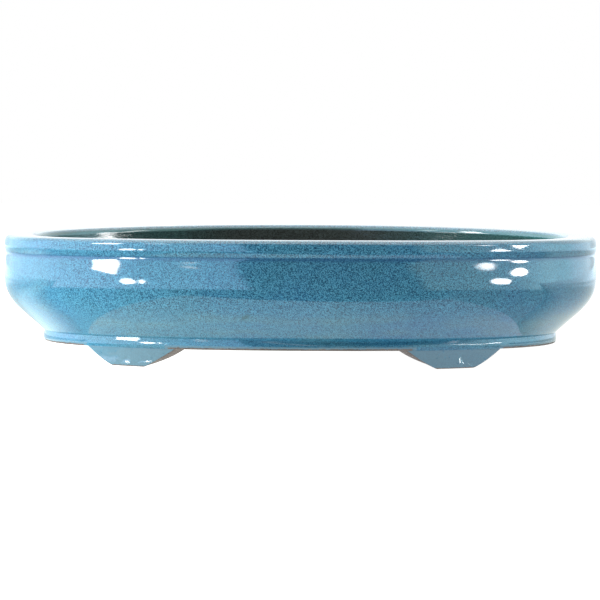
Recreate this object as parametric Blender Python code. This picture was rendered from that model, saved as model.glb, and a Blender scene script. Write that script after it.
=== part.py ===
"""Oval glazed bonsai pot on four bracket feet.

The pot is laid out as a potter joins it: a belly-shaped wall, a heavy flat-topped
rim band above it, a foot-ring moulding and a drained floor below it, and four
feet cut from curved slabs. The pieces are luted with slip and fired as one pot,
so nothing moves. X runs along the pot, Y across it and Z up from the table.
Sizes are in millimetres and turned into metres where a vertex is placed.
"""

import math

import bmesh
import bpy

MM = 0.001

# Plan outline
LENGTH = 460.0
WIDTH = 360.0
OVAL_POWER = 2.06       # 2 would be a true ellipse, more fills the shoulders out
RING_STEPS = 80         # facets round the oval
END_SAG = 2.4           # how far the two ends slumped in the kiln
GAP = 0.3               # clearance between pieces that are luted face to face
SHARP_ANGLE = 40.0      # edges that turn by more degrees than this stay crisp

# Heights of the main lines, before the sag
HEIGHT = 97.0
BAND_BOTTOM = 85.0
BELLY_HEIGHT = 63.0     # where the belly is widest
BASE_TOP = 22.5
BASE_BOTTOM = 14.6

# Rim band, as insets from the plan outline
LIP_INSET = 24.0        # inner edge of the rim's flat top
RIM_OUTER_RADIUS = 3.4
RIM_INNER_RADIUS = 3.6
BAND_BOTTOM_RADIUS = 2.4

# Wall
WAIST_INSET = 2.4       # groove under the rim band
BELLY_INSET = 0.3
WALL_FOOT_INSET = 31.4  # outer surface where the wall meets the base band
BELLY_THICKNESS = 11.2
FLOOR_EDGE_INSET = 44.2
FLOOR_COVE_HEIGHT = 26.0    # where the inside starts to curve up from the floor

# Handles of the wall's curves, as heights or as (inset, height)
WAIST_HANDLE = 77.0
SHOULDER_HANDLE = 73.5
BELLY_HANDLE = 46.0
UNDERBELLY_HANDLE = (15.1, 37.9)
INSIDE_COVE_HANDLE = (24.0, 45.0)
INSIDE_BELLY_HANDLE = 54.0
INSIDE_SHOULDER_HANDLE = 70.0
INSIDE_LIP_HANDLE = 76.5    # the wall thickens inwards under the rim band

# Base band and floor
BASE_INSET = 30.5
BASE_EDGE_INSET = 33.0  # bottom outer edge of the base band
BASE_BULGE_HEIGHT = 18.4
BASE_BULGE_HANDLE = 2.0
BASE_BACK_INSET = 44.5
FLOOR_BOTTOM = 15.8
FLOOR_TOP = 24.2
DRAIN_DIAMETER = 32.0
DRAIN_SPACING = 190.0
WIRE_HOLE_DIAMETER = 5.0
WIRE_HOLE_SPACING_X = 96.0
WIRE_HOLE_SPACING_Y = 150.0
DRAIN_SIDES = 32
WIRE_HOLE_SIDES = 12

# Feet, as distances along the base band's outline from the middle of a long side
LEFT_FOOT_RUN = 129.0
RIGHT_FOOT_RUN = 132.5      # the right feet were set a little further out
FOOT_FACE_HALF_LENGTHS = (15.5, 29.5, 40.0)   # bottom, flank handle, top
FOOT_BACK_HALF_LENGTHS = (8.5, 32.0, 46.5)    # the cut ends twist outwards as they rise
FOOT_FLANK_HEIGHT = 5.8
FOOT_FACE_INSET_TOP = 31.2
FOOT_FACE_INSET_BOTTOM = 33.6
FOOT_BACK_INSET_TOP = 43.6
FOOT_BACK_INSET_BOTTOM = 42.6
FOOT_COLUMNS = 12
FOOT_ROWS = 6
RUN_STEPS = 2000        # steps in a quarter turn when the outline is measured

GLAZE_COLOUR = (0.068, 0.195, 0.285, 1.0)
CLAY_COLOUR = (0.185, 0.135, 0.105, 1.0)


def clear_scene():
    for item in list(bpy.data.objects):
        bpy.data.objects.remove(item, do_unlink=True)


def make_material(name, colour, roughness):
    material = bpy.data.materials.new(name)
    material.use_nodes = True
    shader = material.node_tree.nodes["Principled BSDF"]
    shader.inputs["Base Color"].default_value = colour
    shader.inputs["Roughness"].default_value = roughness
    shader.inputs["Metallic"].default_value = 0.0
    material.diffuse_color = colour
    return material


def oval_point(inset, angle):
    """Point in plan on the outline moved inwards by inset."""
    power = 2.0 / OVAL_POWER
    along = math.cos(angle)
    across = math.sin(angle)
    x = (LENGTH / 2 - inset) * math.copysign(abs(along) ** power, along)
    y = (WIDTH / 2 - inset) * math.copysign(abs(across) ** power, across)
    return x, y


def sagged(x, z):
    """Height of a point once the ends of the pot have slumped."""
    return z - END_SAG * (2 * x / LENGTH) ** 2


def arc(centre, radius, start, end, steps=4):
    """Points (inset, z) on an arc, with its angles in degrees."""
    points = []
    for step in range(steps + 1):
        angle = math.radians(start + (end - start) * step / steps)
        points.append((centre[0] + radius * math.cos(angle), centre[1] + radius * math.sin(angle)))
    return points


def bezier(start, start_handle, end_handle, end, steps):
    """Points (inset, z) along a cubic curve, without its first point."""
    points = []
    for step in range(1, steps + 1):
        t = step / steps
        weights = ((1 - t) ** 3, 3 * t * (1 - t) ** 2, 3 * t * t * (1 - t), t ** 3)
        corners = (start, start_handle, end_handle, end)
        points.append(tuple(sum(w * c[axis] for w, c in zip(weights, corners)) for axis in (0, 1)))
    return points


def finish_mesh(name, bm, material):
    """Turn a closed bmesh into a smooth-shaded object that keeps its edges crisp."""
    bmesh.ops.recalc_face_normals(bm, faces=bm.faces)
    mesh = bpy.data.meshes.new(name)
    bm.to_mesh(mesh)
    bm.free()
    mesh.shade_smooth()
    mesh.set_sharp_from_angle(angle=math.radians(SHARP_ANGLE))
    mesh.materials.append(material)
    piece = bpy.data.objects.new(name, mesh)
    bpy.context.scene.collection.objects.link(piece)
    return piece


def make_ring(name, profile, material):
    """Sweep a closed profile of (inset, z) points round the oval."""
    bm = bmesh.new()
    sections = []
    for step in range(RING_STEPS):
        angle = 2 * math.pi * step / RING_STEPS
        section = []
        for inset, z in profile:
            x, y = oval_point(inset, angle)
            section.append(bm.verts.new((x * MM, y * MM, sagged(x, z) * MM)))
        sections.append(section)
    for index, section in enumerate(sections):
        following = sections[(index + 1) % RING_STEPS]
        for corner in range(len(profile)):
            after = (corner + 1) % len(profile)
            bm.faces.new((section[corner], following[corner], following[after], section[after]))
    return finish_mesh(name, bm, material)


def rim_band_profile():
    """Heavy upright band with a broad flat top."""
    outer, inner, lower = RIM_OUTER_RADIUS, RIM_INNER_RADIUS, BAND_BOTTOM_RADIUS
    profile = arc((lower, BAND_BOTTOM + lower), lower, 270, 180)
    profile += arc((outer, HEIGHT - outer), outer, 180, 90)
    profile += arc((LIP_INSET - inner, HEIGHT - inner), inner, 90, 0)
    profile.append((LIP_INSET, BAND_BOTTOM))
    return profile


def bowl_wall_profile():
    """Belly-shaped wall, down its outside and back up its inside."""
    waist = (WAIST_INSET, BAND_BOTTOM - GAP)
    belly = (BELLY_INSET, BELLY_HEIGHT)
    foot = (WALL_FOOT_INSET, BASE_TOP)
    cove = (FLOOR_EDGE_INSET, FLOOR_COVE_HEIGHT)
    belly_inside = (BELLY_INSET + BELLY_THICKNESS, BELLY_HEIGHT)
    under_lip = (LIP_INSET, BAND_BOTTOM - GAP)
    profile = [waist]
    profile += bezier(waist, (waist[0], WAIST_HANDLE), (belly[0], SHOULDER_HANDLE), belly, 6)
    profile += bezier(belly, (belly[0], BELLY_HANDLE), UNDERBELLY_HANDLE, foot, 9)
    profile.append((FLOOR_EDGE_INSET, BASE_TOP))
    profile.append(cove)
    profile += bezier(cove, INSIDE_COVE_HANDLE, (belly_inside[0], INSIDE_BELLY_HANDLE), belly_inside, 7)
    inside_handles = ((belly_inside[0], INSIDE_SHOULDER_HANDLE), (LIP_INSET, INSIDE_LIP_HANDLE))
    profile += bezier(belly_inside, *inside_handles, under_lip, 5)
    return profile


def base_band_profile():
    """Low moulding that bulges a little between the belly and the feet."""
    top = BASE_TOP - GAP
    edge = (BASE_EDGE_INSET, BASE_BOTTOM)
    bulge = (BASE_INSET, BASE_BULGE_HEIGHT)
    upper_edge = (WALL_FOOT_INSET + GAP, top)
    lower_handles = ((WALL_FOOT_INSET, BASE_BOTTOM), (BASE_INSET, BASE_BULGE_HEIGHT - BASE_BULGE_HANDLE))
    upper_handles = ((BASE_INSET, BASE_BULGE_HEIGHT + BASE_BULGE_HANDLE), (BASE_INSET + GAP, top))
    profile = [edge]
    profile += bezier(edge, *lower_handles, bulge, 3)
    profile += bezier(bulge, *upper_handles, upper_edge, 3)
    profile.append((BASE_BACK_INSET, top))
    profile.append((BASE_BACK_INSET, BASE_BOTTOM))
    return profile


def make_cutter(name, x, y, diameter, sides):
    """Upright cylinder that passes through the floor."""
    bm = bmesh.new()
    depth = 3 * (FLOOR_TOP - FLOOR_BOTTOM)
    radius = diameter / 2 * MM
    bmesh.ops.create_cone(
        bm, cap_ends=True, segments=sides, radius1=radius, radius2=radius, depth=depth * MM)
    mesh = bpy.data.meshes.new(name)
    bm.to_mesh(mesh)
    bm.free()
    cutter = bpy.data.objects.new(name, mesh)
    cutter.location = (x * MM, y * MM, (FLOOR_TOP + FLOOR_BOTTOM) / 2 * MM)
    cutter.hide_render = True
    cutter.display_type = "WIRE"
    bpy.context.scene.collection.objects.link(cutter)
    return cutter


def floor_holes():
    """Two drain holes on the long axis and four tie-wire holes beside them."""
    holes = []
    for side in (-1, 1):
        holes.append((side * DRAIN_SPACING / 2, 0.0, DRAIN_DIAMETER, DRAIN_SIDES))
    for side_x in (-1, 1):
        for side_y in (-1, 1):
            x = side_x * WIRE_HOLE_SPACING_X / 2
            y = side_y * WIRE_HOLE_SPACING_Y / 2
            holes.append((x, y, WIRE_HOLE_DIAMETER, WIRE_HOLE_SIDES))
    return holes


def make_floor_slab(material):
    bm = bmesh.new()
    inset = BASE_BACK_INSET + GAP
    outline = []
    for step in range(RING_STEPS):
        x, y = oval_point(inset, 2 * math.pi * step / RING_STEPS)
        outline.append(bm.verts.new((x * MM, y * MM, FLOOR_BOTTOM * MM)))
    bottom = bm.faces.new(outline)
    lifted = bmesh.ops.extrude_face_region(bm, geom=[bottom])
    risen = [item for item in lifted["geom"] if isinstance(item, bmesh.types.BMVert)]
    bmesh.ops.translate(bm, verts=risen, vec=(0, 0, (FLOOR_TOP - FLOOR_BOTTOM) * MM))
    slab = finish_mesh("floor_slab", bm, material)
    for number, (x, y, diameter, sides) in enumerate(floor_holes(), start=1):
        cut = slab.modifiers.new("hole_%d" % number, "BOOLEAN")
        cut.operation = "DIFFERENCE"
        cut.solver = "EXACT"
        cut.object = make_cutter("hole_cutter_%d" % number, x, y, diameter, sides)
    return slab


def angle_at_run(run):
    """Angle on the base band's outline at a distance from the middle of a long side."""
    angle = -math.pi / 2
    turn = math.pi / 2 / RUN_STEPS
    x, y = oval_point(BASE_INSET, angle)
    travelled = 0.0
    while travelled < run:
        angle += turn
        next_x, next_y = oval_point(BASE_INSET, angle)
        travelled += math.hypot(next_x - x, next_y - y)
        x, y = next_x, next_y
    return angle


def blend(low, high, share):
    return low + (high - low) * share


def foot_flank(t, half_lengths):
    """Half length and height of a foot's outline, from its bottom to its top."""
    weights = ((1 - t) ** 2, 2 * t * (1 - t), t * t)
    heights = (0.0, FOOT_FLANK_HEIGHT, BASE_BOTTOM - GAP)
    half_length = sum(w * v for w, v in zip(weights, half_lengths))
    height = sum(w * v for w, v in zip(weights, heights))
    return half_length, height


def foot_grid(bm, side_x, side_y, half_lengths, inset_bottom, inset_top):
    """Rows of vertices over the face or the back of one foot, bottom row first."""
    centre_run = RIGHT_FOOT_RUN if side_x > 0 else LEFT_FOOT_RUN
    rows = []
    for row in range(FOOT_ROWS + 1):
        half_length, height = foot_flank(row / FOOT_ROWS, half_lengths)
        share = height / (BASE_BOTTOM - GAP)
        inset = blend(inset_bottom, inset_top, share)
        points = []
        for column in range(FOOT_COLUMNS + 1):
            reach = 2 * column / FOOT_COLUMNS - 1
            run = centre_run + reach * half_length
            x, y = oval_point(inset, angle_at_run(run))
            z = height - share * END_SAG * (2 * x / LENGTH) ** 2
            points.append(bm.verts.new((side_x * x * MM, -side_y * y * MM, z * MM)))
        rows.append(points)
    return rows


def join_rows(bm, near, far):
    for index in range(len(near) - 1):
        bm.faces.new((near[index], near[index + 1], far[index + 1], far[index]))


def make_foot(name, side_x, side_y, material):
    bm = bmesh.new()
    face_insets = (FOOT_FACE_INSET_BOTTOM, FOOT_FACE_INSET_TOP)
    back_insets = (FOOT_BACK_INSET_BOTTOM, FOOT_BACK_INSET_TOP)
    face = foot_grid(bm, side_x, side_y, FOOT_FACE_HALF_LENGTHS, *face_insets)
    back = foot_grid(bm, side_x, side_y, FOOT_BACK_HALF_LENGTHS, *back_insets)
    for rows in (face, back):
        for near, far in zip(rows, rows[1:]):
            join_rows(bm, near, far)
    join_rows(bm, face[0], back[0])
    join_rows(bm, face[-1], back[-1])
    for end in (0, -1):
        join_rows(bm, [row[end] for row in face], [row[end] for row in back])
    return finish_mesh(name, bm, material)


def main():
    clear_scene()
    blue_glaze = make_material("blue_glaze", GLAZE_COLOUR, 0.18)
    bare_clay = make_material("bare_clay", CLAY_COLOUR, 0.85)
    make_ring("rim_band", rim_band_profile(), blue_glaze)
    make_ring("bowl_wall", bowl_wall_profile(), blue_glaze)
    make_ring("base_band", base_band_profile(), blue_glaze)
    make_floor_slab(bare_clay)
    for front_back, side_y in (("front", -1), ("back", 1)):
        for left_right, side_x in (("left", -1), ("right", 1)):
            make_foot("foot_%s_%s" % (front_back, left_right), side_x, side_y, blue_glaze)


main()
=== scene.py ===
"""Looks of an oval glazed bonsai pot: its clay, its speckled glaze and the studio round it.

The CAD frame gives the pot's size and the heights of its main lines. Each clay
piece is rebuilt here as a fine mesh that runs into its neighbours the way glaze
hides the joints, and carries how much glaze lies on it, in millimetres.
"""
import math

import bmesh
import bpy
from mathutils import Euler, Matrix, Vector, noise


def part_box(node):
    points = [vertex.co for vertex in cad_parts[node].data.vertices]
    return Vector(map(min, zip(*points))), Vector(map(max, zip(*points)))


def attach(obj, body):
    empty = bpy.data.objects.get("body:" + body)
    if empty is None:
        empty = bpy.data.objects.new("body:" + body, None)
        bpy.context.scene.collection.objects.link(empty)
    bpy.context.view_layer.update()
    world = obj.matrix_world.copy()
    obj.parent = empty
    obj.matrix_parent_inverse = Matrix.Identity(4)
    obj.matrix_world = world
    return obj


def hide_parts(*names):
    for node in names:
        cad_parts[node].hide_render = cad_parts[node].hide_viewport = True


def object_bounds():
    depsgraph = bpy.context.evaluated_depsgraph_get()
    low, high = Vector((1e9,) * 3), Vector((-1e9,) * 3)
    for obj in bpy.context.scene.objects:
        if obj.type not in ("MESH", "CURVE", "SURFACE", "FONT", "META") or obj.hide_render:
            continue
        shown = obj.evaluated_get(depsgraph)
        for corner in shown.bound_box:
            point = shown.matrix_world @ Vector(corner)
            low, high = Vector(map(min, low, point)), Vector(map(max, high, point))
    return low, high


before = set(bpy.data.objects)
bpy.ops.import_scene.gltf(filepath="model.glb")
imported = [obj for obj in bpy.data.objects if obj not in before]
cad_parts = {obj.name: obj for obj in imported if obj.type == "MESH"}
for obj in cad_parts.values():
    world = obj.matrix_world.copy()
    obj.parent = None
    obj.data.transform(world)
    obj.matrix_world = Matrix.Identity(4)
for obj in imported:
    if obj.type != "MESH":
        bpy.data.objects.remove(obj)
cad_low, cad_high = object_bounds()

MM = 0.001

# Sizes taken from the frame, in millimetres
LENGTH = (cad_high.x - cad_low.x) / MM
WIDTH = (cad_high.y - cad_low.y) / MM
HEIGHT = cad_high.z / MM
FLOOR_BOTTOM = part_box("floor_slab")[0].z / MM
FLOOR_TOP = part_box("floor_slab")[1].z / MM
FLOOR_INSET = (LENGTH - (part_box("floor_slab")[1].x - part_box("floor_slab")[0].x) / MM) / 2
BASE_INSET = (LENGTH - (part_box("base_band")[1].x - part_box("base_band")[0].x) / MM) / 2
BASE_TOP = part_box("base_band")[1].z / MM

# The pot's outline. Insets are measured inwards from the oval of its full length and width
OVAL_POWER = 2.06
END_SAG = 2.4
BAND_BOTTOM = 85.0
BELLY_HEIGHT = 63.0
BELLY_INSET = 0.3
INSIDE_BELLY_INSET = 11.5
WAIST_INSET = 2.9
GROOVE_HEIGHT = 83.0
LIP_INSET = 24.0
BASE_BOTTOM = 14.6
BASE_WIDEST = 18.0
WALL_FOOT_INSET = 31.4
RING_STEPS = 480

# The waist is shallower towards the ends of the oval: share lost on the way, and close to the ends
WAIST_DEPTH_MAX = 4.0
WAIST_TOP = 90.0
WAIST_EASE = 0.4
WAIST_END_EASE = 0.35

# Glaze values that the meshes carry: well inside the glazed area, bare, on the pot's outside, and
# on its inside. Then the height where the glaze ends inside, and how near the groove it pools
FULL_GLAZE = 20.0
NO_GLAZE = -10.0
NOT_INSIDE = -1.0
FULLY_INSIDE = 3.0
INSIDE_GLAZE_END = 72.0
POOL_REACH = 2.6


# ---------------------------------------------------------------- outline and profiles

def oval_point(inset, angle):
    """Point in plan on the pot's outline moved inwards by inset."""
    power = 2.0 / OVAL_POWER
    along = math.cos(angle)
    across = math.sin(angle)
    x = (LENGTH / 2 - inset) * math.copysign(abs(along) ** power, along)
    y = (WIDTH / 2 - inset) * math.copysign(abs(across) ** power, across)
    return x, y


def clamp(value):
    """Value kept between 0 and 1."""
    return min(1.0, max(0.0, value))


def end_nearness(x):
    """0 at the middle of the pot's length and 1 at its ends, rising as a square."""
    return (2 * x / LENGTH) ** 2


def sagged(x, z):
    """Height of a point once the ends of the pot have slumped."""
    return z - END_SAG * end_nearness(x)


def eased_waist(inset, z, x):
    """Inset of a point, made shallower towards the ends if it lies outside between belly and rim."""
    if inset < WAIST_DEPTH_MAX and BELLY_HEIGHT < z < WAIST_TOP:
        near = end_nearness(x)
        inset -= inset * (WAIST_EASE * near + WAIST_END_EASE * near ** 6)
    return inset


def bezier(start, start_handle, end_handle, end, steps):
    """Points (inset, z) along a cubic curve, without its first point."""
    points = []
    for step in range(1, steps + 1):
        t = step / steps
        weights = ((1 - t) ** 3, 3 * t * (1 - t) ** 2, 3 * t * t * (1 - t), t ** 3)
        corners = (start, start_handle, end_handle, end)
        points.append(tuple(sum(w * c[axis] for w, c in zip(weights, corners)) for axis in (0, 1)))
    return points


def turn(start, tilt_from, tilt_to, radius, steps):
    """Arc that goes on from start while the surface's outward tilt changes, in degrees.

    Tilt is 0 on an upright face and 90 on a level top. A negative radius makes a hollow.
    """
    points = []
    first = math.radians(tilt_from)
    for step in range(1, steps + 1):
        tilt = first + math.radians(tilt_to - tilt_from) * step / steps
        inset = start[0] + radius * (math.cos(first) - math.cos(tilt))
        z = start[1] + radius * (math.sin(tilt) - math.sin(first))
        points.append((inset, z))
    return points


# ---------------------------------------------------------------- building meshes

# Length and height of the long swells and the short ripple of a hand-finished surface
SWELL = (70.0, 0.30)
RIPPLE = (19.0, 0.07)


def hand_wobble(point):
    """How far the surface stands out at a point, in millimetres."""
    swell = noise.noise(Vector(point) / SWELL[0])
    ripple = noise.noise(Vector(point) / RIPPLE[0] + Vector((7.0, 3.0, 1.0)))
    return SWELL[1] * swell + RIPPLE[1] * ripple


def link_piece(name, mesh, material, nodes):
    """Put a finished mesh in the scene as a piece that stands for CAD nodes."""
    mesh.materials.append(material)
    piece = bpy.data.objects.new(name, mesh)
    bpy.context.scene.collection.objects.link(piece)
    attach(piece, "root")
    for node in nodes:
        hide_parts(node)
    return piece


def smooth(mesh, degrees=50.0):
    mesh.shade_smooth()
    mesh.set_sharp_from_angle(angle=math.radians(degrees))


def glazed_mesh(name, vertices, faces, glaze, pool, inner):
    """Closed smooth mesh that carries its glaze values.

    For each vertex, glaze gives how far inside the glazed area it lies, pool how
    thick the glaze has pooled there, and inner how far it has turned into the
    dark glaze of the pot's inside, which also carries painted shade.
    """
    mesh = bpy.data.meshes.new(name)
    mesh.from_pydata(vertices, [], faces)
    for attribute, values in (("glaze", glaze), ("pool", pool), ("inner", inner)):
        layer = mesh.attributes.new(attribute, "FLOAT", "POINT")
        layer.data.foreach_set("value", values)
    bm = bmesh.new()
    bm.from_mesh(mesh)
    bmesh.ops.recalc_face_normals(bm, faces=bm.faces)
    bm.to_mesh(mesh)
    bm.free()
    smooth(mesh)
    return mesh


def ring_mesh(name, profile, glaze, pool, inner):
    """Sweep a closed profile of (inset, z) points, with their glaze values, round the oval."""
    vertices = []
    for step in range(RING_STEPS):
        angle = 2 * math.pi * step / RING_STEPS
        for inset, z in profile:
            flat_x, flat_y = oval_point(inset, angle)
            inset = eased_waist(inset, z, flat_x)
            x, y = oval_point(inset - hand_wobble((flat_x, flat_y, z)), angle)
            vertices.append((x * MM, y * MM, sagged(x, z) * MM))
    count = len(profile)
    faces = []
    for step in range(RING_STEPS):
        here = step * count
        there = (step + 1) % RING_STEPS * count
        for corner in range(count):
            after = (corner + 1) % count
            faces.append((here + corner, there + corner, there + after, here + after))
    return glazed_mesh(name, vertices, faces, glaze * RING_STEPS, pool * RING_STEPS, inner * RING_STEPS)


# ---------------------------------------------------------------- materials

def opaque(colour):
    """A plain colour with its alpha. A socket stays as it is."""
    return colour if isinstance(colour, bpy.types.NodeSocket) else (*colour, 1)


class Nodes:
    """Short calls that add shader nodes to one tree."""

    def __init__(self, tree):
        self.tree = tree

    def put(self, socket, value):
        """Link the socket to another node's output, or set it to a constant."""
        if isinstance(value, bpy.types.NodeSocket):
            self.tree.links.new(value, socket)
        else:
            socket.default_value = value

    def add(self, kind, **settings):
        node = self.tree.nodes.new(kind)
        for name, value in settings.items():
            setattr(node, name, value)
        return node

    def place(self):
        return self.add("ShaderNodeTexCoord").outputs["Object"]

    def axes(self):
        node = self.add("ShaderNodeSeparateXYZ")
        self.put(node.inputs[0], self.place())
        return node.outputs

    def moved(self, x, y, z):
        """Place moved by metres, so that textures don't repeat one another."""
        node = self.add("ShaderNodeVectorMath", operation="ADD")
        self.put(node.inputs[0], self.place())
        node.inputs[1].default_value = (x, y, z)
        return node.outputs[0]

    def attribute(self, name):
        return self.add("ShaderNodeAttribute", attribute_name=name).outputs["Fac"]

    def noise(self, grain_mm, detail=2.0, roughness=0.5, offset=0.0):
        """Noise whose features are about grain_mm wide."""
        texture = self.add("ShaderNodeTexNoise")
        self.put(texture.inputs["Vector"], self.moved(offset, offset * 1.7, offset * 0.6))
        texture.inputs["Scale"].default_value = 1.0 / (grain_mm * MM)
        texture.inputs["Detail"].default_value = detail
        texture.inputs["Roughness"].default_value = roughness
        return texture.outputs["Fac"]

    def streaks(self, long_mm, tall_mm, offset=0.0):
        """Noise drawn out sideways, as a turned or combed surface leaves."""
        stretched = self.add("ShaderNodeMapping")
        self.put(stretched.inputs["Vector"], self.place())
        stretched.inputs["Location"].default_value = (offset, offset, offset)
        stretched.inputs["Scale"].default_value = (1000 / long_mm, 1000 / long_mm, 1000 / tall_mm)
        texture = self.add("ShaderNodeTexNoise")
        self.put(texture.inputs["Vector"], stretched.outputs["Vector"])
        texture.inputs["Scale"].default_value = 1.0
        texture.inputs["Detail"].default_value = 2.0
        return texture.outputs["Fac"]

    def spot(self, centre_mm, radius_mm, ragged):
        """1 inside a ragged spot about a point of the surface, 0 outside."""
        reach = self.add("ShaderNodeVectorMath", operation="DISTANCE")
        self.put(reach.inputs[0], self.place())
        reach.inputs[1].default_value = [value * MM for value in centre_mm]
        distance = self.math("MULTIPLY_ADD", ragged, 3 * radius_mm * MM, reach.outputs["Value"])
        return self.span(distance, radius_mm * 2.5 * MM, radius_mm * 1.9 * MM)

    def cells(self, grain_mm, offset=0.0, output="Distance"):
        """Cells about grain_mm wide: distance from a cell's middle, or its random colour."""
        texture = self.add("ShaderNodeTexVoronoi")
        self.put(texture.inputs["Vector"], self.moved(offset, offset * 1.3, offset * 0.7))
        texture.inputs["Scale"].default_value = 1.0 / (grain_mm * MM)
        return texture.outputs[output]

    def span(self, value, low, high, to_low=0.0, to_high=1.0):
        """Map low..high to to_low..to_high with soft ends."""
        node = self.add("ShaderNodeMapRange", interpolation_type="SMOOTHSTEP")
        self.put(node.inputs["Value"], value)
        node.inputs["From Min"].default_value = low
        node.inputs["From Max"].default_value = high
        node.inputs["To Min"].default_value = to_low
        node.inputs["To Max"].default_value = to_high
        return node.outputs["Result"]

    def math(self, operation, *values):
        node = self.add("ShaderNodeMath", operation=operation)
        for socket, value in zip(node.inputs, values):
            self.put(socket, value)
        return node.outputs[0]

    def mix(self, share, first, second):
        """Colour that goes from first to second as share goes from 0 to 1."""
        node = self.add("ShaderNodeMix", data_type="RGBA")
        self.put(node.inputs["Factor"], share)
        self.put(node.inputs[6], opaque(first))
        self.put(node.inputs[7], opaque(second))
        return node.outputs[2]

    def mix_value(self, share, first, second):
        node = self.add("ShaderNodeMix", data_type="FLOAT")
        self.put(node.inputs["Factor"], share)
        self.put(node.inputs[2], first)
        self.put(node.inputs[3], second)
        return node.outputs[0]

    def bump(self, height, depth_mm, normal=None):
        node = self.add("ShaderNodeBump")
        node.inputs["Distance"].default_value = depth_mm * MM
        self.put(node.inputs["Height"], height)
        if normal is not None:
            self.put(node.inputs["Normal"], normal)
        return node.outputs["Normal"]


class Graph(Nodes):
    """The nodes of one new material."""

    def __init__(self, name):
        self.material = bpy.data.materials.new(name)
        self.material.use_nodes = True
        super().__init__(self.material.node_tree)
        self.shader = self.tree.nodes["Principled BSDF"]


# Bare clay
CLAY_DARK = (0.101, 0.085, 0.074)
CLAY_LIGHT = (0.174, 0.152, 0.136)
CLAY_GRIT = (0.045, 0.034, 0.028)
CLAY_SAND = (0.24, 0.22, 0.20)
CLAY_ROUGHNESS = 0.85

# Glaze outside
BLUE_DEEP = (0.022, 0.142, 0.285)
BLUE_GREENISH = (0.028, 0.165, 0.245)
MOTTLE = (0.040, 0.190, 0.275)
LOW_PATCH = (0.085, 0.200, 0.215)
COMBED_LINE = (0.014, 0.085, 0.150)
LIGHT_FLECK = (0.085, 0.322, 0.475)
DARK_FLECK = (0.001, 0.034, 0.080)
POOLED = (0.008, 0.062, 0.165)
FOOT_RING_TINT = (0.055, 0.235, 0.350)
GLAZE_BEAD = (0.130, 0.240, 0.300)
GLAZE_IOR = 1.52

# Glaze on the inner edge and inside, with painted light: a painted highlight on the inner edge, painted
# shade in the brown inside, and lighter teal for more light towards the ends
EDGE_TEAL_AND_HIGHLIGHT = (0.060, 0.205, 0.185)
INSIDE_BROWN_AND_SHADE = ((0.026, 0.030, 0.028), (0.088, 0.116, 0.110))
INSIDE_TEAL_AND_LIGHT = ((0.018, 0.055, 0.058), (0.055, 0.150, 0.146))

# Heights, and distances from the middle of the pot's length, over which the glaze changes, in metres
COMBED_BELOW = (0.052, 0.036)
CALM_BELOW = (0.048, 0.036)
CALM_BEYOND = (0.14, 0.21)
FOOT_RING_BELOW = (0.0245, 0.0225)
# Beyond these distances the inside's painted shade gives way to lighter teal, for the light nearer the
# ends
LIT_TEAL_BEYOND = (0.10, 0.20)
# How much lower the dark glaze inside, with its painted shade, starts towards the more brightly lit ends
INSIDE_SHADE_DROP = -38.0

# Spots in the glaze: middle and radius in millimetres, strength and colour. The last is a chip
GLAZE_SPOTS = (
    ((66.0, -169.8, 55.8), 2.8, 0.7, (0.060, 0.420, 0.290)),
    ((-30.5, -166.8, 40.2), 3.2, 0.6, (0.014, 0.080, 0.100)),
    ((-47.0, -167.6, 45.0), 0.8, 0.9, (0.500, 0.650, 0.700)),
    ((122.6, -117.0, 11.0), 1.0, 0.95, (0.010, 0.010, 0.010)),
)


def clay_surface(graph):
    """Colour and height of bare fired stoneware."""
    tone = graph.noise(14.0, detail=4.0, roughness=0.6, offset=3.0)
    colour = graph.mix(graph.span(tone, 0.3, 0.7), CLAY_DARK, CLAY_LIGHT)
    grit = graph.span(graph.cells(2.4, offset=1.0), 0.05, 0.35)
    colour = graph.mix(grit, CLAY_GRIT, colour)
    sand = graph.noise(0.9, detail=3.0, roughness=0.7, offset=5.0)
    colour = graph.mix(graph.span(sand, 0.55, 0.75, 0.0, 0.45), colour, CLAY_SAND)
    return colour, graph.math("ADD", sand, grit)


def outer_glaze(graph, along, height, drift, fleck, ragged, pool):
    """Colour of the blue glaze: slow drifts, mottling, combing low down, speckle, spots and pooling."""
    body = graph.mix(graph.span(drift, 0.32, 0.68), BLUE_DEEP, BLUE_GREENISH)
    mottle = graph.noise(6.5, detail=3.0, roughness=0.6, offset=1.2)
    body = graph.mix(graph.span(mottle, 0.35, 0.75, 0.0, 0.35), body, MOTTLE)
    low = graph.span(height, *COMBED_BELOW)
    patches = graph.span(graph.streaks(55.0, 11.0, offset=0.7), 0.46, 0.66, 0.0, 0.5)
    body = graph.mix(graph.math("MULTIPLY", patches, low), body, LOW_PATCH)
    combing = graph.span(graph.streaks(45.0, 1.1, offset=2.3), 0.52, 0.72, 0.0, 0.3)
    body = graph.mix(graph.math("MULTIPLY", combing, low), body, COMBED_LINE)

    calm_ends = graph.span(along, *CALM_BEYOND, 1.0, 0.6)
    calm_below = graph.span(height, *CALM_BELOW, 1.0, 0.7)
    calm = graph.math("MULTIPLY", calm_ends, calm_below)
    light = graph.math("MULTIPLY", graph.span(fleck, 0.50, 0.61, 0.0, 0.9), calm)
    body = graph.mix(light, body, LIGHT_FLECK)
    shade = graph.math("MULTIPLY", graph.span(fleck, 0.50, 0.39, 0.0, 0.9), calm)
    body = graph.mix(shade, body, DARK_FLECK)
    for centre, radius, share, colour in GLAZE_SPOTS:
        spot = graph.math("MULTIPLY", graph.spot(centre, radius, ragged), share)
        body = graph.mix(spot, body, colour)
    body = graph.mix(graph.span(pool, 0.0, 1.0, 0.0, 0.62), body, POOLED)
    return graph.mix(graph.span(height, *FOOT_RING_BELOW, 0.0, 0.18), body, FOOT_RING_TINT)


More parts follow.
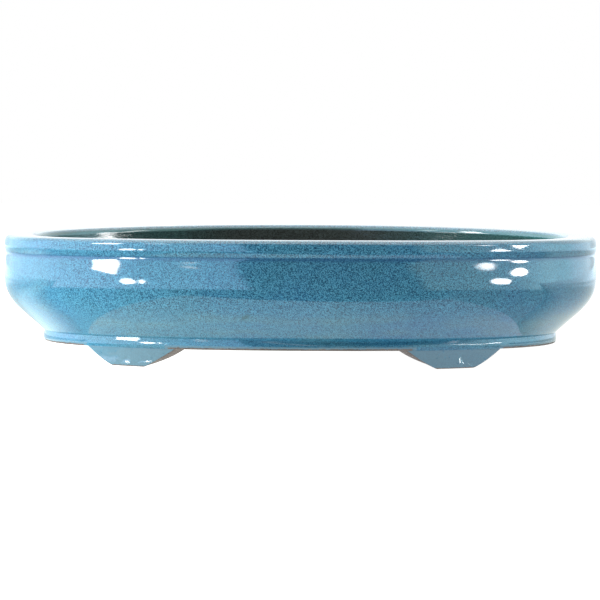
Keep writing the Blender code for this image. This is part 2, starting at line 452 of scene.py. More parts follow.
def inner_glaze_and_shade(graph, along, drift, fleck):
    """Colour of the dark glaze inside: brown with painted shade in the middle of the long sides, teal
    lightened for more light nearer the ends.
    """
    grain = graph.span(fleck, 0.35, 0.65)
    shaded_brown = graph.mix(grain, *INSIDE_BROWN_AND_SHADE)
    lit_teal = graph.mix(grain, *INSIDE_TEAL_AND_LIGHT)
    sideways = graph.math("MULTIPLY_ADD", drift, 0.12, along)
    return graph.mix(graph.span(sideways, *LIT_TEAL_BEYOND), shaded_brown, lit_teal)


def glaze_material():
    """Speckled blue glaze over clay, which the glaze attribute lays bare."""
    graph = Graph("speckled_blue_glaze")
    glaze = graph.attribute("glaze")
    inner = graph.attribute("inner")
    axes = graph.axes()
    along = graph.math("ABSOLUTE", axes["X"])
    drift = graph.noise(85.0, detail=3.0, roughness=0.55, offset=0.4)
    fine = graph.noise(0.5, detail=1.0, roughness=0.6, offset=2.1)
    grains = graph.cells(0.52, offset=0.9, output="Color")
    fleck = graph.math("MULTIPLY", graph.math("ADD", fine, grains), 0.5)
    ragged = graph.noise(3.0, detail=3.0, offset=4.0)

    body = outer_glaze(graph, along, axes["Z"], drift, fleck, ragged, graph.attribute("pool"))
    # Inner top rounding: teal glaze on the edge, lightened as a painted highlight where the edge catches
    # the light from above
    body = graph.mix(graph.span(inner, -0.95, -0.2, 0.0, 0.75), body, EDGE_TEAL_AND_HIGHLIGHT)
    # Inside: dark glaze with painted shade, starting lower towards the ends where more light falls
    shade_line = graph.math("MULTIPLY_ADD", graph.math("MULTIPLY", along, along), INSIDE_SHADE_DROP, inner)
    body = graph.mix(graph.span(shade_line, -0.6, 0.9), body, inner_glaze_and_shade(graph, along, drift, fleck))

    clay_colour, clay_height = clay_surface(graph)
    edge = graph.math("MULTIPLY_ADD", ragged, 1.6, graph.math("SUBTRACT", glaze, 0.8))
    bead = graph.math("MULTIPLY", graph.span(edge, 0.0, 0.35), graph.span(edge, 1.9, 0.9))
    body = graph.mix(graph.math("MULTIPLY", bead, 0.75), body, GLAZE_BEAD)
    cover = graph.span(edge, -0.12, 0.18)
    graph.put(graph.shader.inputs["Base Color"], graph.mix(cover, clay_colour, body))
    gloss = graph.span(fleck, 0.3, 0.7, 0.05, 0.08)
    graph.put(graph.shader.inputs["Roughness"], graph.mix_value(cover, CLAY_ROUGHNESS, gloss))
    graph.shader.inputs["IOR"].default_value = GLAZE_IOR

    orange_peel = graph.noise(5.0, detail=2.0, offset=6.0)
    normal = graph.bump(orange_peel, 0.014)
    normal = graph.bump(fine, 0.002, normal)
    pits = graph.noise(1.3, detail=2.0, offset=8.0)
    normal = graph.bump(graph.math("MULTIPLY", pits, graph.span(inner, -0.2, 1.0)), 0.10, normal)
    glaze_height = graph.math("MULTIPLY_ADD", bead, 0.6, 1.0)
    normal = graph.bump(graph.mix_value(cover, clay_height, glaze_height), 0.12, normal)
    graph.put(graph.shader.inputs["Normal"], normal)
    return graph.material


def clay_material():
    """Bare stoneware of the floor."""
    graph = Graph("bare_stoneware")
    colour, height = clay_surface(graph)
    graph.put(graph.shader.inputs["Base Color"], colour)
    graph.shader.inputs["Roughness"].default_value = CLAY_ROUGHNESS
    graph.put(graph.shader.inputs["Normal"], graph.bump(height, 0.15))
    return graph.material


# ---------------------------------------------------------------- pieces

def falloff(value, centre, reach):
    """1 at centre, 0 beyond reach."""
    return max(0.0, 1.0 - abs(value - centre) / reach)


# The rim band's face: tilts in degrees, with 0 upright and 90 level, and radii in millimetres
BAND_FACE_TILT = 4.8
BAND_SHOULDER_TILT = 17.0
BAND_TOP_TILT = 87.5
BAND_EDGE_RADIUS = 3.9
BAND_FOOT_TILTS = (-28, -42)
TOP_CROWN = 0.15

# At the far left the rear wall's inner face leans by this much for each millimetre of height
INNER_LEAN = 0.115
LEAN_START = -149.0
LEAN_REACH = 9.0


def make_rim_band(material):
    """Heavy upright band: crowned face, rounded foot in a groove, broad flat top, plumb inside."""
    plumb = (0.1, 89.0)
    upper = turn(plumb, 0, BAND_FACE_TILT, 22, 3)
    upper.append((upper[-1][0] + 0.185, upper[-1][1] + 2.2))
    upper += turn(upper[-1], BAND_FACE_TILT, BAND_SHOULDER_TILT, 3.0, 4)
    upper += turn(upper[-1], BAND_SHOULDER_TILT, BAND_TOP_TILT, BAND_EDGE_RADIUS, 14)
    lift = HEIGHT - TOP_CROWN - upper[-1][1]
    rise = upper[-1][1] - plumb[1]
    upper = [(inset, z + lift * (z - plumb[1]) / rise) for inset, z in upper]
    lower = turn(plumb, 0, BAND_FOOT_TILTS[0], 3.4, 7)
    lower += turn(lower[-1], *BAND_FOOT_TILTS, 13.0, 6)
    lower += turn(lower[-1], BAND_FOOT_TILTS[1], 0, -2.4, 9)
    lower.append((lower[-1][0] + 0.4, lower[-1][1] - 1.0))
    outside = list(reversed(lower)) + [plumb] + upper
    lip_top = (LIP_INSET - 4.1, HEIGHT - 0.35)
    top = bezier(outside[-1], (9.0, HEIGHT + 0.08), (14.0, HEIGHT + 0.02), lip_top, 8)
    inside = turn(lip_top, BAND_TOP_TILT, 178, 4.0, 14)
    inside += bezier(inside[-1], (LIP_INSET, 91.0), (LIP_INSET, 87.0), (LIP_INSET, 83.4), 10)
    underside = [(15.0, 83.2), (outside[0][0] + 6.0, 82.6)]
    profile = outside + top + inside + underside
    first_inside = len(outside) + len(top)
    pool = []
    inner = []
    for index, (inset, z) in enumerate(profile):
        pool.append(falloff(z, GROOVE_HEIGHT, POOL_REACH) if index < len(lower) else 0.0)
        turned_in = min(FULLY_INSIDE, max(NOT_INSIDE, (HEIGHT - 3.0 - z) / 1.6))
        inner.append(turned_in if index >= first_inside else NOT_INSIDE)
    mesh = ring_mesh("rim_band", profile, [FULL_GLAZE] * len(profile), pool, inner)
    for index, vertex in enumerate(mesh.vertices):
        x, y, z = [value / MM for value in vertex.co]
        if y > 0 and first_inside <= index % len(profile) < first_inside + len(inside):
            share = clamp((LEAN_START - x) / LEAN_REACH)
            vertex.co.y -= INNER_LEAN * share * (HEIGHT - 4.0 - z) * MM
    link_piece("rim_band_glazed", mesh, material, ["rim_band"])


# The base band's upper line dips at the front right, and the wall's foot with it
DIP_DEPTH = 1.7
DIP_MIDDLE = 68.0
DIP_REACH = 85.0
DIP_SETBACK = 1.05
WALL_DIP_TOP = 29.0
WALL_DIP_BOTTOM = 24.0


def press_down(vertex, x, share):
    """Dip a point of the front, and set it back so that it stays on the sloping wall."""
    dip = DIP_DEPTH * math.exp(-((x - DIP_MIDDLE) / DIP_REACH) ** 2)
    vertex.co.z -= share * dip * MM
    vertex.co.y += DIP_SETBACK * share * dip * MM


def make_wall(material):
    """Belly wall down to the base band, glazed outside and a little way down the inside.

    Inside, a cove of bare clay runs from its foot out over the floor.
    """
    groove = (WAIST_INSET, GROOVE_HEIGHT)
    belly = (BELLY_INSET, BELLY_HEIGHT)
    foot = (WALL_FOOT_INSET, BASE_TOP)
    outside = [(WAIST_INSET, BAND_BOTTOM + 0.5), groove]
    outside += bezier(groove, (WAIST_INSET, 79.7), (BELLY_INSET, 75.0), belly, 30)
    outside += bezier(belly, (BELLY_INSET, 46.0), (15.1, 37.9), foot, 40)
    outside.append((WALL_FOOT_INSET + 2.6, BASE_TOP - 2.4))
    cove_inset = FLOOR_INSET + 10.0
    cove_tip = (cove_inset, FLOOR_TOP + 0.06)
    inside_belly = (INSIDE_BELLY_INSET, BELLY_HEIGHT)
    under_lip = LIP_INSET - 0.1
    inside = [(FLOOR_INSET + 6.0, BASE_TOP - 0.6), (cove_inset, FLOOR_TOP - 0.3), cove_tip]
    inside += bezier(cove_tip, (33.0, FLOOR_TOP + 1.0), (INSIDE_BELLY_INSET, 47.0), inside_belly, 30)
    inside += bezier(
        inside_belly, (INSIDE_BELLY_INSET, 70.0), (under_lip, 76.5), (under_lip, BAND_BOTTOM + 0.5), 16)
    profile = outside + inside
    glaze = [FULL_GLAZE] * len(outside) + [z - INSIDE_GLAZE_END for inset, z in inside]
    pool = [falloff(z, GROOVE_HEIGHT, POOL_REACH) for inset, z in outside] + [0.0] * len(inside)
    inner = [NOT_INSIDE] * len(outside) + [FULLY_INSIDE] * len(inside)
    mesh = ring_mesh("bowl_wall", profile, glaze, pool, inner)
    for index, vertex in enumerate(mesh.vertices):
        x, y, z = [value / MM for value in vertex.co]
        if y < 0 and index % len(profile) < len(outside):
            press_down(vertex, x, clamp((WALL_DIP_TOP - z) / (WALL_DIP_TOP - WALL_DIP_BOTTOM)))
    link_piece("bowl_wall_glazed", mesh, material, ["bowl_wall"])


# The base band is bare this far up from its bottom, except above the feet, where the glaze runs
# over the bare line: from and to this far along, deepening by this much for each millimetre
BARE_LINE = 1.3
OVER_FEET = (91.0, 158.0)
OVER_FEET_RISE = 0.6


def make_base_band(material):
    """Low bulging moulding, bare along its bottom edge except over the feet."""
    top = (WALL_FOOT_INSET - 0.35, BASE_TOP + 0.34)
    outside = [(32.6, BASE_BOTTOM - 0.1)]
    outside += bezier(
        outside[0], (31.7, BASE_BOTTOM - 0.1), (31.0, BASE_BOTTOM), (BASE_INSET + 0.35, 15.6), 8)
    outside += bezier(
        outside[-1], (BASE_INSET - 0.05, 16.6), (BASE_INSET, 17.2), (BASE_INSET, BASE_WIDEST), 5)
    outside += bezier(outside[-1], (BASE_INSET, 19.4), (30.62, 20.4), (30.84, BASE_TOP - 0.8), 9)
    outside += bezier(outside[-1], (30.90, BASE_TOP - 0.4), (30.98, BASE_TOP), top, 6)
    inside = [
        (33.2, BASE_TOP - 1.6), (44.5, BASE_TOP - 1.6), (44.5, BASE_BOTTOM + 0.8), (43.7, BASE_BOTTOM)]
    profile = outside + inside
    glaze = [z - BASE_BOTTOM - BARE_LINE for inset, z in outside] + [NO_GLAZE] * len(inside)
    mesh = ring_mesh("base_band", profile, glaze, [0.0] * len(profile), [NOT_INSIDE] * len(profile))
    glazed = mesh.attributes["glaze"].data
    for index, vertex in enumerate(mesh.vertices):
        x, y, z = [value / MM for value in vertex.co]
        if index % len(profile) >= len(outside):
            continue
        if y < 0:
            press_down(vertex, x, clamp((z - BASE_WIDEST) / (BASE_TOP - BASE_WIDEST)))
        if z < BASE_WIDEST:
            over_foot = min(abs(x) - OVER_FEET[0], OVER_FEET[1] - abs(x)) * OVER_FEET_RISE
            glazed[index].value = max(glazed[index].value, min(3.0, over_foot))
    link_piece("base_band_glazed", mesh, material, ["base_band"])


# Feet, as distances along the base band's outline from the middle of a long side. Half lengths
# are given at the bottom, at the middle handle of the curved flank, and at the top. Each foot is
# bent from a flat block, given by its half sizes and by how many faces it has each way
LEFT_FOOT_RUN = 129.0
RIGHT_FOOT_RUN = 130.5
FOOT_FACE_LENGTHS = (15.5, 30.0, 41.3)
FOOT_BACK_LENGTHS = (8.5, 32.0, 46.5)
FOOT_INNER_LENGTHS = (14.6, 27.0, 44.0)
FOOT_INNER_LENGTHS_RIGHT = (17.5, 30.0, 44.0)
FOOT_FLANK_HEIGHT = 5.8
FOOT_TOP = BASE_BOTTOM + 1.0
FOOT_FACE_INSET = 33.1
FOOT_BACK_INSETS = (42.6, 43.6)
FOOT_ROUND = 0.9
FOOT_BLOCK = (30.0, 5.0, FOOT_TOP / 2)
FOOT_CUTS = (64, 14, 22)

# Small tilted flats on the faces, where a hand pressed them: middle along and up from the foot's
# middle and bottom, half height, and how steeply they turn aside and tip up
FLAT_RIGHT = (3.0, 6.4, 4.6, 0.13, 0.13)
FLAT_LEFT = (0.8, 4.0, 3.0, 0.0, 0.20)
FLAT_HALF_WIDTH = 3.0


def foot_face_inset(height):
    """The face leans out towards the top, a little unevenly."""
    share = height / FOOT_TOP
    bottom_swell = 0.06 * math.sin(math.pi * min(1.0, share * 2.6))
    hollow = 0.10 * math.sin(math.pi * share)
    return FOOT_FACE_INSET - 1.7 * share ** 2 - bottom_swell + hollow


def angle_at_run(run):
    """Angle on the base band's outline at a distance from the middle of a long side."""
    steps = 3000
    angle = -math.pi / 2
    stride = math.pi / 2 / steps
    x, y = oval_point(BASE_INSET, angle)
    travelled = 0.0
    while travelled < run:
        angle += stride
        next_x, next_y = oval_point(BASE_INSET, angle)
        travelled += math.hypot(next_x - x, next_y - y)
        x, y = next_x, next_y
    return angle


RUN_TABLE = [angle_at_run(run) for run in range(0, 201)]


def quick_angle(run):
    """The same angle, read off between whole millimetres."""
    low = int(math.floor(run))
    return RUN_TABLE[low] + (RUN_TABLE[low + 1] - RUN_TABLE[low]) * (run - low)


def foot_half_length(height, half_lengths):
    """Half length of a foot at a height, along its curved flank."""
    t = 0.0
    for _ in range(24):
        level = 2 * t * (1 - t) * FOOT_FLANK_HEIGHT + t * t * FOOT_TOP
        slope = 2 * (1 - 2 * t) * FOOT_FLANK_HEIGHT + 2 * t * FOOT_TOP
        t = clamp(t - (level - height) / slope)
    weights = ((1 - t) ** 2, 2 * t * (1 - t), t * t)
    return sum(w * v for w, v in zip(weights, half_lengths))


def pressed_flat(side_x, along, height):
    """How far the foot's face stands out at its tilted flat, in millimetres."""
    middle, level, half_height, turned, tipped = FLAT_RIGHT if side_x > 0 else FLAT_LEFT
    away = along - middle
    above = height - level
    reach = math.hypot(away / FLAT_HALF_WIDTH, above / half_height)
    return -(turned * away + tipped * above) * math.exp(-reach ** 4)


def foot_point(flat, side_x, side_y):
    """Bend a point of a flat block to the foot's shape. Returns x, y, z and the height before sagging."""
    core = [max(FOOT_ROUND - half, min(half - FOOT_ROUND, value)) for value, half in zip(flat, FOOT_BLOCK)]
    rounded = Vector(flat)
    push = rounded - Vector(core)
    if push.length > 0:
        rounded = Vector(core) + push.normalized() * FOOT_ROUND
    along = rounded.x / FOOT_BLOCK[0]
    depth = (rounded.y / FOOT_BLOCK[1] + 1) / 2
    height = rounded.z + FOOT_BLOCK[2]
    share = clamp(height / FOOT_TOP)
    centre_run = RIGHT_FOOT_RUN if side_x > 0 else LEFT_FOOT_RUN
    face_lengths = FOOT_FACE_LENGTHS
    if along < 0:
        face_lengths = FOOT_INNER_LENGTHS_RIGHT if side_x > 0 else FOOT_INNER_LENGTHS
    face_length = foot_half_length(height, face_lengths)
    back_length = foot_half_length(height, FOOT_BACK_LENGTHS)
    run = centre_run + along * (face_length + (back_length - face_length) * depth)
    face = foot_face_inset(height)
    back = FOOT_BACK_INSETS[0] + (FOOT_BACK_INSETS[1] - FOOT_BACK_INSETS[0]) * share
    inset = face + (back - face) * depth
    lump = noise.noise(Vector((run / 6.5, height / 5.0, 3.0 * side_x + side_y)))
    dent = noise.noise(Vector((run / 2.6, height / 2.3, 8.0 + 3.0 * side_x + side_y)))
    stands_out = 0.15 * lump + 0.04 * dent + pressed_flat(side_x, run - centre_run, height)
    x, y = oval_point(inset - stands_out * (1 - depth), quick_angle(run))
    z = height - share * END_SAG * end_nearness(x)
    return side_x * x, -side_y * y, z, height


def foot_glaze(flat):
    """How far inside the glazed area a point of the flat block lies: only its face is glazed."""
    from_face = FOOT_BLOCK[1] + flat[1]
    from_bottom = FOOT_BLOCK[2] + flat[2]
    from_end = FOOT_BLOCK[0] - abs(flat[0])
    return min(0.5 - from_face * 2.0, from_bottom * 1.2 - 1.0, from_end * 1.5 - 0.9)


def make_foot(name, side_x, side_y, material):
    """Curved slab with rounded edges: glazed on its face, bare on its ends and underneath."""
    vertices = []
    glaze = []
    pool = []
    index_of = {}

    def vertex(place):
        if place not in index_of:
            index_of[place] = len(vertices)
            flat = [(2.0 * n / cuts - 1.0) * half for n, cuts, half in zip(place, FOOT_CUTS, FOOT_BLOCK)]
            x, y, z, height = foot_point(flat, side_x, side_y)
            vertices.append((x * MM, y * MM, z * MM))
            glaze.append(foot_glaze(flat))
            pool.append(falloff(height, FOOT_TOP - 1.0, 1.6))
        return index_of[place]

    faces = []
    for axis in range(3):
        first, second = [other for other in range(3) if other != axis]
        for end in (0, FOOT_CUTS[axis]):
            for a in range(FOOT_CUTS[first]):
                for b in range(FOOT_CUTS[second]):
                    corners = []
                    for da, db in ((0, 0), (1, 0), (1, 1), (0, 1)):
                        place = [0, 0, 0]
                        place[axis] = end
                        place[first] = a + da
                        place[second] = b + db
                        corners.append(vertex(tuple(place)))
                    faces.append(corners)
    mesh = glazed_mesh(name, vertices, faces, glaze, pool, [NOT_INSIDE] * len(vertices))
    link_piece(name + "_glazed", mesh, material, [name])


# Holes in the floor, in millimetres
DRAIN_RADIUS = 16.0
DRAIN_REACH = 95.0
WIRE_RADIUS = 2.5
WIRE_REACH = (48.0, 75.0)
WORN_EDGE = 0.8


def make_floor(material):
    """Floor slab of bare clay with rounded drain and wire holes."""
    thickness = FLOOR_TOP - FLOOR_BOTTOM
    bm = bmesh.new()
    outline = []
    for step in range(RING_STEPS // 2):
        x, y = oval_point(FLOOR_INSET - 0.2, 4 * math.pi * step / RING_STEPS)
        outline.append(bm.verts.new((x * MM, y * MM, FLOOR_BOTTOM * MM)))
    bottom = bm.faces.new(outline)
    lifted = bmesh.ops.extrude_face_region(bm, geom=[bottom])
    risen = [item for item in lifted["geom"] if isinstance(item, bmesh.types.BMVert)]
    bmesh.ops.translate(bm, verts=risen, vec=(0, 0, thickness * MM))
    bmesh.ops.recalc_face_normals(bm, faces=bm.faces)
    mesh = bpy.data.meshes.new("floor")
    bm.to_mesh(mesh)
    bm.free()
    piece = link_piece("floor_bare", mesh, material, ["floor_slab"])
    holes = [(side * DRAIN_REACH, 0.0, DRAIN_RADIUS) for side in (-1, 1)]
    holes += [(a * WIRE_REACH[0], b * WIRE_REACH[1], WIRE_RADIUS) for a in (-1, 1) for b in (-1, 1)]
    cutters = bmesh.new()
    for x, y, radius in holes:
        made = bmesh.ops.create_cone(
            cutters, cap_ends=True, segments=64, radius1=radius * MM, radius2=radius * MM,
            depth=3 * thickness * MM)
        bmesh.ops.translate(cutters, verts=made["verts"], vec=(x * MM, y * MM, FLOOR_TOP * MM))
    cutter_mesh = bpy.data.meshes.new("hole_cutters")
    cutters.to_mesh(cutter_mesh)
    cutters.free()
    cutter = bpy.data.objects.new("hole_cutters", cutter_mesh)
    bpy.context.scene.collection.objects.link(cutter)
    cut = piece.modifiers.new("holes", "BOOLEAN")
    cut.operation = "DIFFERENCE"
    cut.solver = "EXACT"
    cut.object = cutter
    worn = piece.modifiers.new("worn_edges", "BEVEL")
    worn.width = WORN_EDGE * MM
    worn.segments = 3
    worn.limit_method = "ANGLE"
    worn.angle_limit = math.radians(50)
    evaluated = piece.evaluated_get(bpy.context.evaluated_depsgraph_get())
    finished = bpy.data.meshes.new_from_object(evaluated)
    piece.modifiers.clear()
    piece.data = finished
    bpy.data.objects.remove(cutter, do_unlink=True)
    smooth(finished, 40.0)


# ---------------------------------------------------------------- studio

# The table is seen but not mirrored. It glows a little more at its left
TABLE_HEIGHT = -0.2
TABLE_GLOW = 1.0
TABLE_GLOW_LEFT = 2.1

# The white stand under the pot and the paper sheet behind it are mirrored but not seen
STAND_HEIGHT = -0.05
STAND_GLOW = (1.45, 1.6, 1.5)
STAND_GLOW_RIGHT = (1.2, 1.2, 1.4)
STAND_OUTLINE = (
    (-133, -250), (175, -196), (183, -110), (187, -60), (187, 60), (-171, 60), (-171, -84), (-160, -124),
    (-153, -157))
SHEET_HEIGHT = -0.1
SHEET_FRONT = -74
SHEET_REACH = 2500
SHEET_NEAR_LEFT = (1.75, 2.10, 2.05)
SHEET_NEAR = (1.0, 1.05, 1.0)
SHEET_BEHIND = (1.1, 1.2, 1.25)
SHEET_FAR_ASIDE = (1.8, 2.15, 2.4)

# Colour that the glaze mirrors at eye level, by azimuth in degrees: 0 faces the pot's front
WALLS = (
    (-180, (1.25, 1.3, 1.35)),
    (-155, (1.3, 1.4, 1.5)),
    (-140, (1.8, 2.1, 2.4)),
    (-125, (2.3, 2.7, 3.2)),
    (-100, (3.1, 3.7, 4.5)),
    (-75, (2.9, 3.6, 4.6)),
    (-40, (1.9, 3.0, 4.1)),
    (-15.5, (1.7, 2.7, 3.8)),
    (-12.5, (0.26, 0.31, 0.36)),
    (35, (0.26, 0.31, 0.36)),
    (41, (1.2, 1.6, 1.5)),
    (75, (1.6, 2.15, 2.3)),
    (100, (2.7, 4.0, 4.5)),
    (117, (2.05, 3.1, 3.45)),
    (126, (2.15, 2.8, 3.25)),
    (145, (1.9, 2.25, 2.5)),
    (158, (1.35, 1.45, 1.5)),
    (180, (1.25, 1.3, 1.35)),
)
# No wall colour is above this. The colour ramp holds them divided by it
WALL_PEAK = 5.0
# Degrees of azimuth that the walls shift for each degree of elevation
WALL_LEAN = -0.17
DARK_ROOM = (0.25, 0.30, 0.32)
LEFT_FLOOR = (0.7, 1.2, 1.45)
RIGHT_FLOOR = (0.6, 0.6, 0.6)
BACK_FLOOR = (1.1, 1.2, 1.25)
BACK_GLOW = (2.2, 2.4, 2.4)
CEILING = (4.4, 4.6, 4.5)
DOME_LEVEL = 0.55
SOFT_BOX_SIZE = 1.2
SOFT_BOX_DISTANCE = 1.8

# Lamps and windows that the glaze mirrors: azimuth, elevation, half width and half height in
# degrees, slope, softness of the edge, whether it is round, and brightness
LAMPS = (
    (-66.6, 19.2, 6.2, 10.6, -0.32, 0.03, False, 28),
    (-54.5, 0.4, 4.0, 3.3, 0.0, 0.12, True, 30),
    (-48.4, 0.8, 1.0, 2.4, 0.0, 0.2, True, 30),
    (-46.5, 28.0, 4.5, 3.0, 0.0, 0.3, True, 22),
    (-33.0, 20.0, 3.2, 0.8, 0.0, 0.5, True, 8),
    (81.0, 8.1, 5.3, 3.7, 0.0, 0.12, True, 45),
    (70.5, 1.0, 4.9, 2.8, 0.0, 0.12, True, 30),
    (65.8, 17.8, 4.1, 4.4, 0.0, 0.5, True, 26),
    (62.0, 24.5, 6.0, 2.0, 0.0, 0.4, True, 14),
)


def flat_card(name, corners, height):
    """Level sheet for the studio, in millimetres."""
    mesh = bpy.data.meshes.new(name)
    mesh.from_pydata([(x * MM, y * MM, height * MM) for x, y in corners], [], [range(len(corners))])
    card = bpy.data.objects.new(name, mesh)
    bpy.context.scene.collection.objects.link(card)
    return card


def glowing(name, reflectance, glow):
    """Matt material that gives off light of its own."""
    graph = Graph(name)
    graph.shader.inputs["Base Color"].default_value = (reflectance, reflectance, reflectance, 1)
    graph.shader.inputs["Roughness"].default_value = 1.0
    graph.shader.inputs["Specular IOR Level"].default_value = 0.0
    graph.shader.inputs["Emission Color"].default_value = (1, 1, 1, 1)
    graph.shader.inputs["Emission Strength"].default_value = glow
    return graph


def square(reach):
    """Corners of a square round the pot."""
    return (-reach, -reach), (reach, -reach), (reach, reach), (-reach, reach)


def make_table():
    """Pale floor that the camera sees."""
    table = flat_card("table", square(4000), TABLE_HEIGHT)
    pale = glowing("pale_table", 0.10, TABLE_GLOW)
    glow = pale.span(pale.axes()["X"], -0.35, 0.10, TABLE_GLOW_LEFT, TABLE_GLOW)
    pale.put(pale.shader.inputs["Emission Strength"], glow)
    table.data.materials.append(pale.material)
    table.visible_glossy = False


def only_mirrored(card):
    """Leave a card to the glaze's reflections alone."""
    card.visible_camera = False
    card.visible_diffuse = False
    card.visible_shadow = False
    card.visible_transmission = False


def make_stand():
    """Top of the white stand, which the glaze low on the belly mirrors."""
    stand = flat_card("stand_top", STAND_OUTLINE, STAND_HEIGHT)
    white = glowing("white_stand", 0.0, 1.0)
    rightness = white.span(white.axes()["X"], 0.02, 0.10)
    white.put(white.shader.inputs["Emission Color"], white.mix(rightness, STAND_GLOW, STAND_GLOW_RIGHT))
    stand.data.materials.append(white.material)
    only_mirrored(stand)


def make_sheet():
    """Paper sheet beside and behind the pot, with a soft front edge."""
    corners = (
        (-SHEET_REACH, SHEET_FRONT), (SHEET_REACH, SHEET_FRONT),
        (SHEET_REACH, SHEET_REACH), (-SHEET_REACH, SHEET_REACH))
    sheet = flat_card("paper_sheet", corners, SHEET_HEIGHT)
    paper = glowing("white_paper", 0.0, 1.0)
    axes = paper.axes()
    beside = paper.mix(paper.span(axes["X"], -0.3, 0.3), SHEET_NEAR_LEFT, SHEET_NEAR)
    near = paper.mix(paper.span(axes["Y"], 0.0, 0.12), beside, SHEET_NEAR)
    aside = paper.math("ABSOLUTE", axes["X"])
    distant = paper.mix(paper.span(aside, 0.35, 0.9), SHEET_BEHIND, SHEET_FAR_ASIDE)
    away = paper.math("MAXIMUM", paper.span(axes["Y"], 0.25, 0.6), paper.span(aside, 0.45, 0.9))
    paper.put(paper.shader.inputs["Emission Color"], paper.mix(away, near, distant))
    front = SHEET_FRONT * MM
    paper.put(paper.shader.inputs["Emission Strength"], paper.span(axes["Y"], front - 0.04, front + 0.06))
    sheet.data.materials.append(paper.material)
    only_mirrored(sheet)


def direction_of(azimuth, elevation):
    """Unit vector, with azimuth and elevation in radians and azimuth 0 facing the pot's front."""
    level = math.cos(elevation)
    return Vector((math.sin(azimuth) * level, -math.cos(azimuth) * level, math.sin(elevation)))


def make_soft_box(name, azimuth, elevation, power):
    """Large soft light that lights the matt colour and isn't mirrored."""
    data = bpy.data.lights.new(name, "AREA")
    data.shape = "SQUARE"
    data.size = SOFT_BOX_SIZE
    data.energy = power
    away = direction_of(math.radians(azimuth), math.radians(elevation))
    box = bpy.data.objects.new(name, data)
    box.location = away * SOFT_BOX_DISTANCE
    box.rotation_euler = away.to_track_quat("Z", "Y").to_euler()
    box.visible_glossy = False
    box.visible_camera = False
    bpy.context.scene.collection.objects.link(box)


def wall_colours(nodes, azimuth, elevation):
    """Colour of the room's walls by azimuth. They lean, so elevation shifts them sideways."""
    walls = nodes.add("ShaderNodeValToRGB")
    walls.color_ramp.interpolation = "EASE"
    leaning = nodes.math("MULTIPLY_ADD", elevation, -WALL_LEAN, azimuth)
    nodes.put(walls.inputs["Fac"], nodes.math("MULTIPLY_ADD", leaning, 1 / 360, 0.5))
    stops = walls.color_ramp.elements
    while len(stops) < len(WALLS):
        stops.new(0.5)
    for stop, (turned, colour) in zip(stops, WALLS):
        stop.position = turned / 360 + 0.5
        stop.color = opaque([value / WALL_PEAK for value in colour])
    bright = nodes.add("ShaderNodeVectorMath", operation="SCALE")
    nodes.put(bright.inputs[0], walls.outputs["Color"])
    bright.inputs["Scale"].default_value = WALL_PEAK
    return bright.outputs[0]


def room_colours(nodes, azimuth, elevation, frontness):
    """Walls with the dark floor in front, the paler floors aside and behind, and the ceiling."""
    low = nodes.mix(nodes.span(azimuth, -22, -48), DARK_ROOM, LEFT_FLOOR)
    low = nodes.mix(nodes.span(azimuth, 40, 60), low, RIGHT_FLOOR)
    walls = wall_colours(nodes, azimuth, elevation)
    room = nodes.mix(nodes.span(elevation, -14, -7), low, walls)
    level = nodes.span(elevation, 0.5, -1.5)
    floor_behind = nodes.math("MULTIPLY", level, nodes.span(frontness, -0.82, -0.93))
    room = nodes.mix(floor_behind, room, BACK_FLOOR)
    raised = nodes.span(elevation, 5, 16)
    glow_behind = nodes.math("MULTIPLY", raised, nodes.span(frontness, -0.2, -0.6))
    room = nodes.mix(glow_behind, room, BACK_GLOW)
    return nodes.mix(nodes.span(elevation, 32, 60), room, CEILING)


def with_lamps(nodes, azimuth, elevation, room):
    """The room with its lamps and windows in front of it."""
    for turned, lifted, wide, tall, slope, soft, is_round, brightness in LAMPS:
        across = nodes.math("DIVIDE", nodes.math("SUBTRACT", azimuth, turned), wide)
        leaning = nodes.math("MULTIPLY", across, slope * wide)
        raised = nodes.math("SUBTRACT", elevation, lifted)
        upward = nodes.math("DIVIDE", nodes.math("SUBTRACT", raised, leaning), tall)
        if is_round:
            squares = [nodes.math("POWER", value, 2.0) for value in (across, upward)]
            distance = nodes.math("SQRT", nodes.math("ADD", *squares))
        else:
            sides = [nodes.math("ABSOLUTE", value) for value in (across, upward)]
            distance = nodes.math("MAXIMUM", *sides)
        room = nodes.mix(nodes.span(distance, 1 + soft, 1 - soft), room, (brightness,) * 3)
    return room


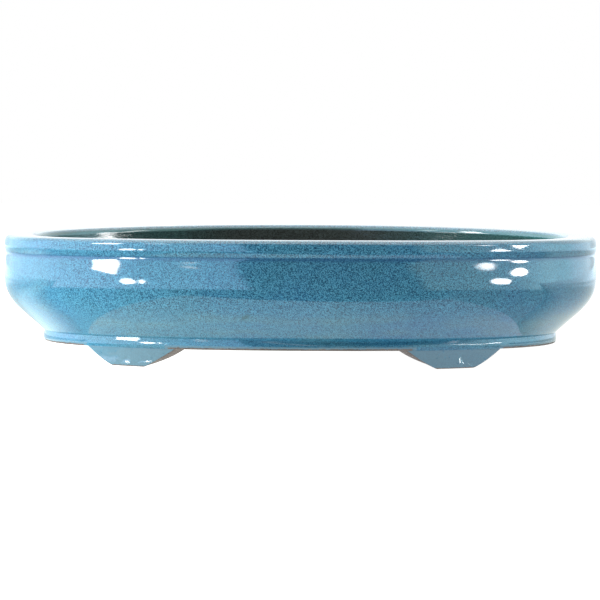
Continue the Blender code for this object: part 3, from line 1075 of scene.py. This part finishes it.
def make_world():
    """White to the camera, an even dome to matt clay, and a dark room with windows to the glaze."""
    world = bpy.data.worlds.new("studio")
    world.use_nodes = True
    nodes = Nodes(world.node_tree)
    direction = nodes.add("ShaderNodeSeparateXYZ")
    nodes.put(direction.inputs[0], nodes.add("ShaderNodeTexCoord").outputs["Generated"])
    frontness = nodes.math("MULTIPLY", direction.outputs["Y"], -1.0)
    azimuth = nodes.math("DEGREES", nodes.math("ARCTAN2", direction.outputs["X"], frontness))
    elevation = nodes.math("DEGREES", nodes.math("ARCSINE", direction.outputs["Z"]))
    room = room_colours(nodes, azimuth, elevation, frontness)

    glossy = nodes.add("ShaderNodeBackground")
    nodes.put(glossy.inputs["Color"], with_lamps(nodes, azimuth, elevation, room))
    dome = nodes.add("ShaderNodeBackground")
    dome.inputs["Color"].default_value = (1, 1, 1, 1)
    dome.inputs["Strength"].default_value = DOME_LEVEL
    seen = nodes.add("ShaderNodeBackground")
    seen.inputs["Color"].default_value = (1, 1, 1, 1)
    paths = nodes.add("ShaderNodeLightPath").outputs
    unseen = nodes.add("ShaderNodeMixShader")
    nodes.put(unseen.inputs[0], paths["Is Glossy Ray"])
    nodes.put(unseen.inputs[1], dome.outputs[0])
    nodes.put(unseen.inputs[2], glossy.outputs[0])
    surface = nodes.add("ShaderNodeMixShader")
    nodes.put(surface.inputs[0], paths["Is Camera Ray"])
    nodes.put(surface.inputs[1], unseen.outputs[0])
    nodes.put(surface.inputs[2], seen.outputs[0])
    nodes.put(nodes.tree.nodes["World Output"].inputs["Surface"], surface.outputs[0])
    bpy.context.scene.world = world
    bpy.context.scene.view_settings.view_transform = "Standard"


# Camera: angles in degrees, distances in metres, lens and sensor in millimetres
CAMERA_AZIMUTH = 3.0
CAMERA_PITCH = 3.246
CAMERA_ROLL = 0.2
CAMERA_DISTANCE = 2.704
CAMERA_TARGET = (0.00025, 0.0, 0.04373)
CAMERA_LENS = 208.25
CAMERA_SENSOR = 36.0


def make_camera():
    """Long lens a little above the rim and a little to the right of the pot's middle."""
    azimuth = math.radians(CAMERA_AZIMUTH)
    pitch = math.radians(CAMERA_PITCH)
    data = bpy.data.cameras.new("camera")
    data.sensor_width = CAMERA_SENSOR
    data.lens = CAMERA_LENS
    camera = bpy.data.objects.new("camera", data)
    camera.location = Vector(CAMERA_TARGET) + direction_of(azimuth, pitch) * CAMERA_DISTANCE
    aimed = Euler((math.pi / 2 - pitch, 0.0, azimuth)).to_matrix()
    rolled = aimed @ Matrix.Rotation(math.radians(CAMERA_ROLL), 3, "Z")
    camera.rotation_euler = rolled.to_euler()
    bpy.context.scene.collection.objects.link(camera)
    bpy.context.scene.camera = camera


make_camera()
glaze = glaze_material()
clay = clay_material()
make_rim_band(glaze)
make_wall(glaze)
make_base_band(glaze)
make_floor(clay)
for front_back, side_y in (("front", -1), ("back", 1)):
    for left_right, side_x in (("left", -1), ("right", 1)):
        make_foot("foot_%s_%s" % (front_back, left_right), side_x, side_y, glaze)
make_table()
make_stand()
make_sheet()
make_soft_box("soft_box_left", -95, 12, 60)
make_soft_box("soft_box_right", 85, 15, 5)
make_world()
